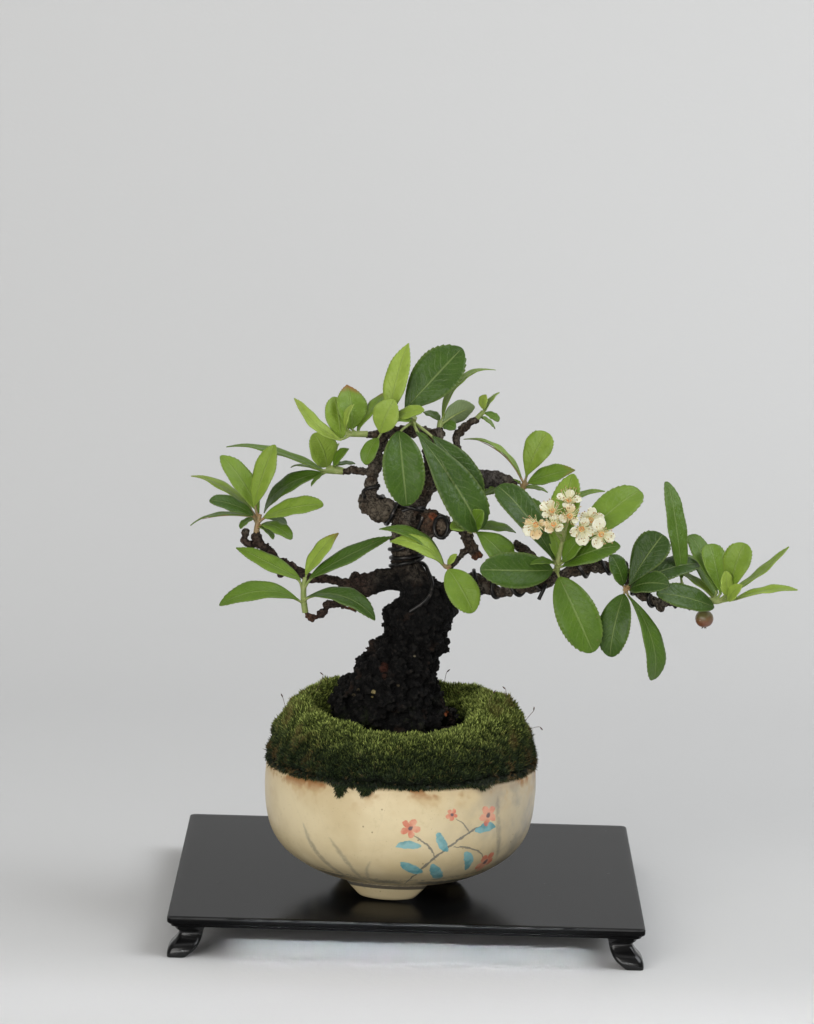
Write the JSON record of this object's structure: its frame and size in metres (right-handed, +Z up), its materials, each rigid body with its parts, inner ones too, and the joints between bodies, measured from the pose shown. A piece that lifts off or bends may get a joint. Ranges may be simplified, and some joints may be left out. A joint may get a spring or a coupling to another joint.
{
  "type": "bonsai tree",
  "caption": "Small wired bonsai with glossy toothed leaves, a cream flower cluster and a berry, in a round footed bowl of moss on a low square lacquered stand.",
  "frame": {"origin": "middle of the part's bounding box in plan, at the soles of the stand's feet", "axes": "+Z up; +X along the front of the stand, towards the long branch with the berry; +Y from the front to the back"},
  "size_m": [0.1794, 0.137, 0.1735],
  "materials": {
    "lacquer": "black satin lacquer on wood",
    "glaze": "cream satin glaze with brush painting",
    "soil": "dark damp mineral potting soil",
    "moss": "soft matt moss",
    "bark": "rough dark bark",
    "wire": "dark anodised training wire",
    "new_leaf": "glossy young leaf",
    "old_leaf": "glossy mature leaf",
    "stalk": "matt green flower stalk",
    "petal": "matt cream petal",
    "berry": "satin berry skin"
  },
  "bodies": {
    "root": {"stand_board": "lacquer", "stand_foot_front_left": "lacquer", "stand_foot_front_right": "lacquer", "stand_foot_back_left": "lacquer", "stand_foot_back_right": "lacquer", "pot": "glaze", "soil": "soil", "moss": "moss", "trunk": "bark", "wire_trunk": "wire", "wire_upper_left": "wire", "wire_right_inner": "wire", "wire_right_outer": "wire", "shoot_left_low": "new_leaf", "shoot_left_outer": "new_leaf", "shoot_left_tier": "new_leaf", "shoot_crown_left": "new_leaf", "shoot_crown_middle": "new_leaf", "shoot_crown_centre": "old_leaf", "shoot_crown_back": "new_leaf", "shoot_top_right": "new_leaf", "shoot_right_upper": "new_leaf", "shoot_flowering": "old_leaf", "shoot_centre_right": "new_leaf", "shoot_lower_centre": "new_leaf", "shoot_right_middle": "old_leaf", "shoot_upright": "old_leaf", "shoot_right_tip": "new_leaf", "flower_stalks": "stalk", "blossom_1": "petal", "blossom_2": "petal", "blossom_3": "petal", "blossom_4": "petal", "blossom_5": "petal", "blossom_6": "petal", "blossom_7": "petal", "blossom_8": "petal", "berry": "berry"}
  },
  "joints": []
}
